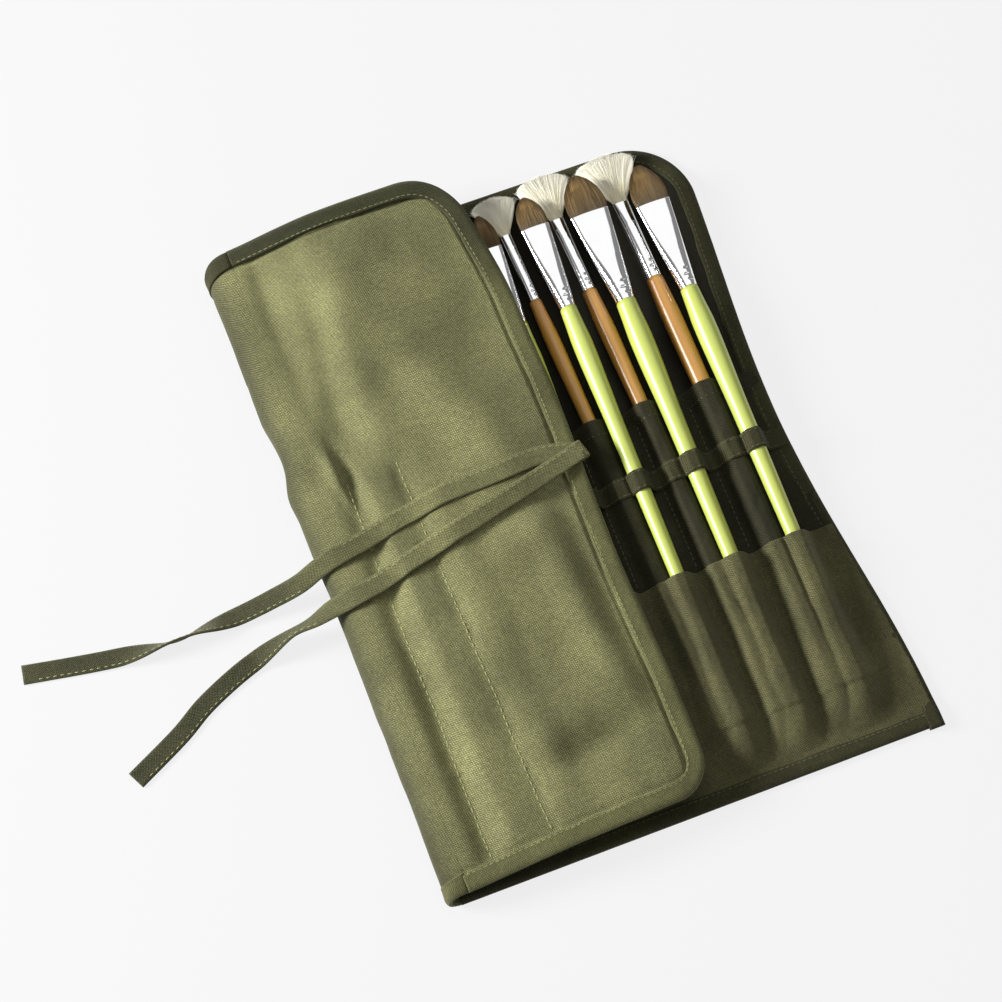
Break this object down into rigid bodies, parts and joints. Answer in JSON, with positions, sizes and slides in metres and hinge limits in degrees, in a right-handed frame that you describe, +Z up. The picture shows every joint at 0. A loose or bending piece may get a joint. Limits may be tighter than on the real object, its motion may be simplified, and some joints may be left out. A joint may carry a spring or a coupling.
{
  "type": "brush roll case",
  "caption": "Olive canvas brush roll case, folded over once, with pockets, a holding strap, a tie and long-handled paint brushes.",
  "frame": {"origin": "centre of the case's outline on the surface it lies on", "axes": "+Z up off the surface, +Y along the brushes towards their heads, +X away from the fold"},
  "size_m": [0.4639, 0.38, 0.0262],
  "materials": {
    "canvas_outer": "waxed cotton canvas, plain weave",
    "canvas_inner": "dark cotton lining",
    "canvas_pocket": "cotton canvas pockets",
    "binding": "cotton bias tape",
    "lime_lacquer": "gloss lacquer, pale lime yellow",
    "amber_lacquer": "gloss lacquer, amber",
    "ferrule": "polished nickel-plated metal",
    "brown_hair": "soft brown hair",
    "white_bristle": "off-white bristle"
  },
  "bodies": {
    "base": {"base_outer_canvas": "canvas_outer", "base_lining": "canvas_inner", "rear_pocket_panel": "canvas_pocket", "front_pocket_panel": "canvas_pocket", "holding_strap": "binding", "base_binding_bottom": "binding", "base_binding_side": "binding"},
    "spine": {"spine_outer_canvas": "canvas_outer", "spine_lining": "canvas_inner", "spine_binding_bottom": "binding", "spine_binding_top": "binding"},
    "flap": {"flap_outer_canvas": "canvas_outer", "flap_lining": "canvas_inner", "flap_pocket_panel": "canvas_pocket", "flap_binding": "binding"},
    "ties": {"tie_tail_lower": "canvas_outer", "tie_tail_upper": "canvas_outer"},
    "brush_front_1": {"handle_front_1": "lime_lacquer", "ferrule_front_1": "ferrule", "hair_front_1": "brown_hair"},
    "brush_front_2": {"handle_front_2": "lime_lacquer", "ferrule_front_2": "ferrule", "hair_front_2": "brown_hair"},
    "brush_front_3": {"handle_front_3": "lime_lacquer", "ferrule_front_3": "ferrule", "hair_front_3": "brown_hair"},
    "brush_front_4": {"handle_front_4": "lime_lacquer", "ferrule_front_4": "ferrule", "hair_front_4": "brown_hair"},
    "brush_back_1": {"handle_back_1": "amber_lacquer", "ferrule_back_1": "ferrule", "hair_back_1": "white_bristle"},
    "brush_back_2": {"handle_back_2": "amber_lacquer", "ferrule_back_2": "ferrule", "hair_back_2": "white_bristle"},
    "brush_back_3": {"handle_back_3": "amber_lacquer", "ferrule_back_3": "ferrule", "hair_back_3": "white_bristle"}
  },
  "joints": [
    {"name": "fold_lower", "type": "hinge", "parent": "base", "child": "spine", "pos_m": [-0.13995, 0, 0.0021], "axis": [0, -1, 0], "range_deg": [0, 90]},
    {"name": "fold_upper", "type": "hinge", "parent": "spine", "child": "flap", "pos_m": [-0.13995, 0, 0.02], "axis": [0, -1, 0], "range_deg": [0, 90]},
    {"name": "tie_trail", "type": "hinge", "parent": "flap", "child": "ties", "pos_m": [0.00705, 0.018, 0.0221], "axis": [0, -1, 0], "range_deg": [-185, 0]},
    {"name": "draw_front_1", "type": "slide", "parent": "base", "child": "brush_front_1", "axis": [0.012, 0.9997, 0.021], "range_m": [0, 0.345]},
    {"name": "draw_front_2", "type": "slide", "parent": "base", "child": "brush_front_2", "axis": [0.004, 0.9999, 0.011], "range_m": [0, 0.345]},
    {"name": "draw_front_3", "type": "slide", "parent": "base", "child": "brush_front_3", "axis": [0.004, 0.9998, 0.02], "range_m": [0, 0.345]},
    {"name": "draw_front_4", "type": "slide", "parent": "base", "child": "brush_front_4", "axis": [0, 0.9998, 0.022], "range_m": [0, 0.345]},
    {"name": "draw_back_1", "type": "slide", "parent": "base", "child": "brush_back_1", "axis": [-0.03, 0.9996, 0], "range_m": [0, 0.345]},
    {"name": "draw_back_2", "type": "slide", "parent": "base", "child": "brush_back_2", "axis": [-0.028, 0.9996, 0], "range_m": [0, 0.345]},
    {"name": "draw_back_3", "type": "slide", "parent": "base", "child": "brush_back_3", "axis": [-0.018, 0.9998, 0], "range_m": [0, 0.345]}
  ],
  "couplings": [
    {"joint": "fold_upper", "follows": "fold_lower", "ratio": 1},
    {"joint": "tie_trail", "follows": "fold_lower", "ratio": -2.047}
  ]
}
